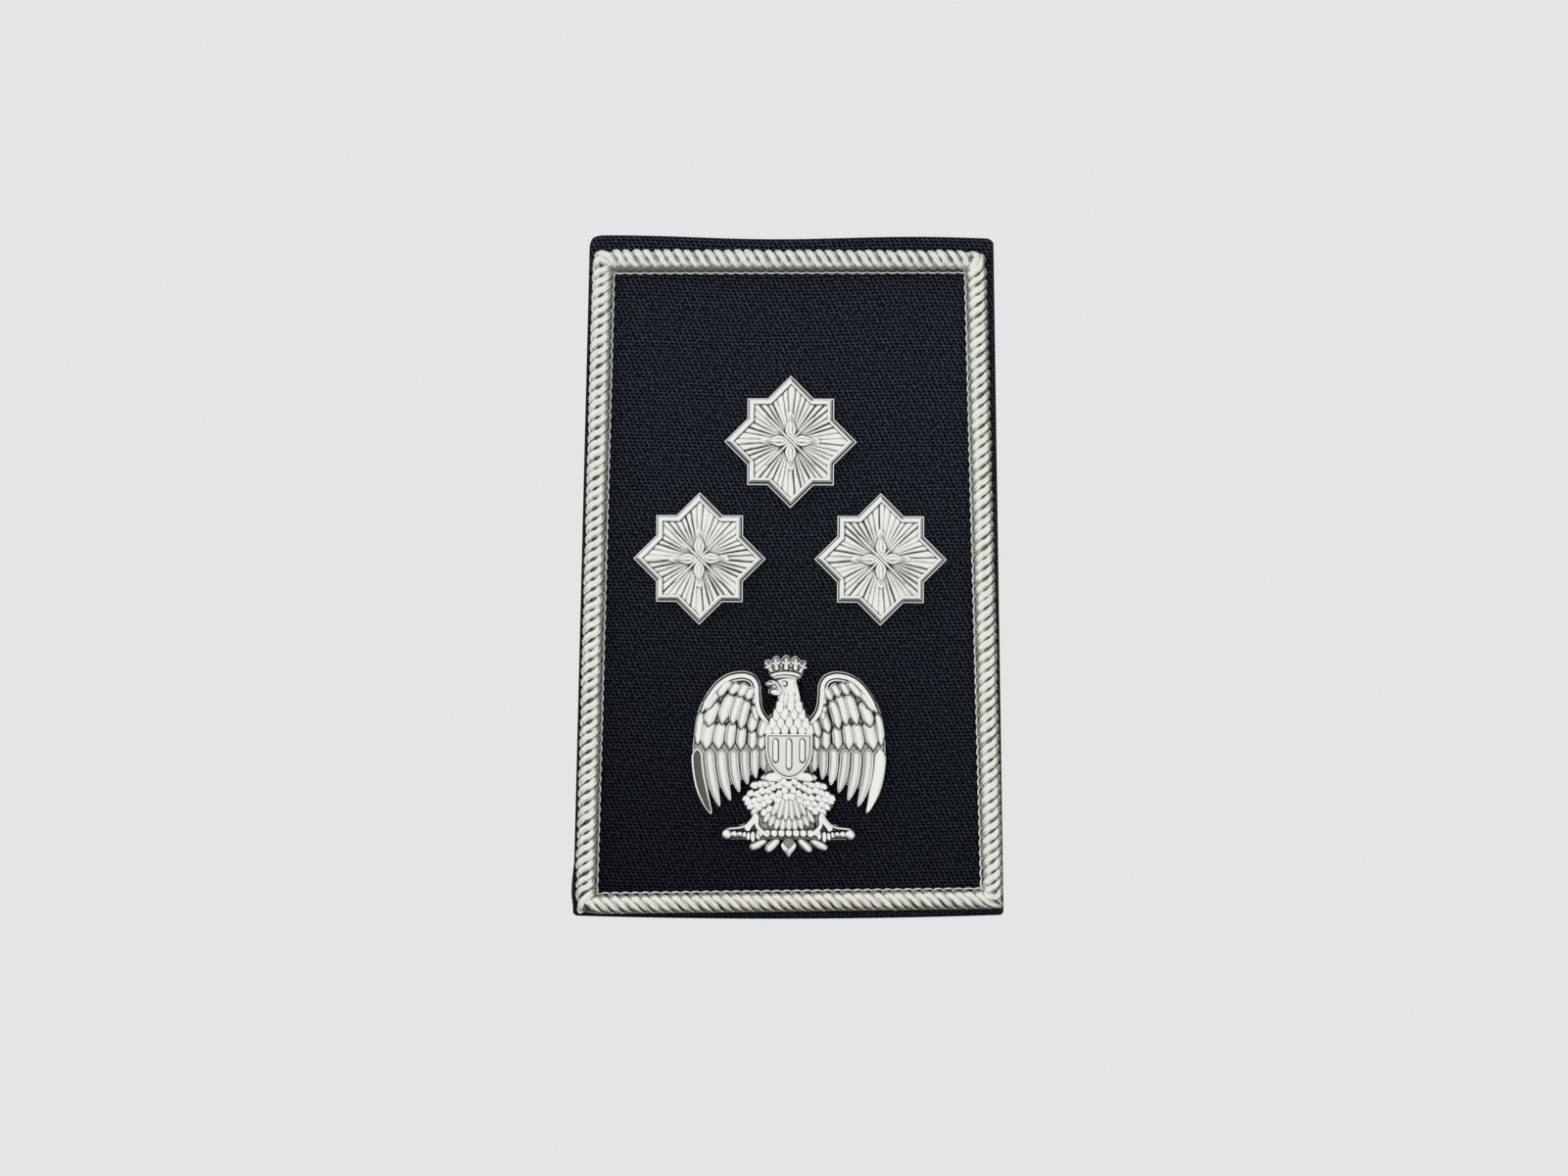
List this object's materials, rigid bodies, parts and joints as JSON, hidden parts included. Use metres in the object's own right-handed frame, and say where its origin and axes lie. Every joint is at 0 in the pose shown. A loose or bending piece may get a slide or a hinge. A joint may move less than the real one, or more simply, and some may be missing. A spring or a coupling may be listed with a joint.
{
  "type": "slip-on shoulder board",
  "caption": "Flat tapered cloth sleeve that slides over a uniform's shoulder strap, edged with twisted metallic cord and carrying cast star and eagle badges on its front.",
  "frame": {"origin": "middle of the board's bounding box, on the surface that its back lies on", "axes": "+Z out of the front panel, +Y towards the narrower neck end, +X to the right as seen from the front with the neck end up"},
  "size_m": [0.0602, 0.095, 0.0099],
  "materials": {
    "cloth": "dark navy twill woven cloth",
    "metallic_cord": "bright silver metallised yarn, twisted",
    "cast_silver": "bright silver plating over cast relief",
    "washer_steel": "plain stamped steel"
  },
  "bodies": {
    "root": {"cloth_sleeve": "cloth", "cord_border": "metallic_cord", "star_top": "cast_silver", "star_left": "cast_silver", "star_right": "cast_silver", "eagle": "cast_silver", "washer_star_top": "washer_steel", "washer_star_left": "washer_steel", "washer_star_right": "washer_steel", "washer_eagle_upper": "washer_steel", "washer_eagle_lower": "washer_steel"}
  },
  "joints": []
}
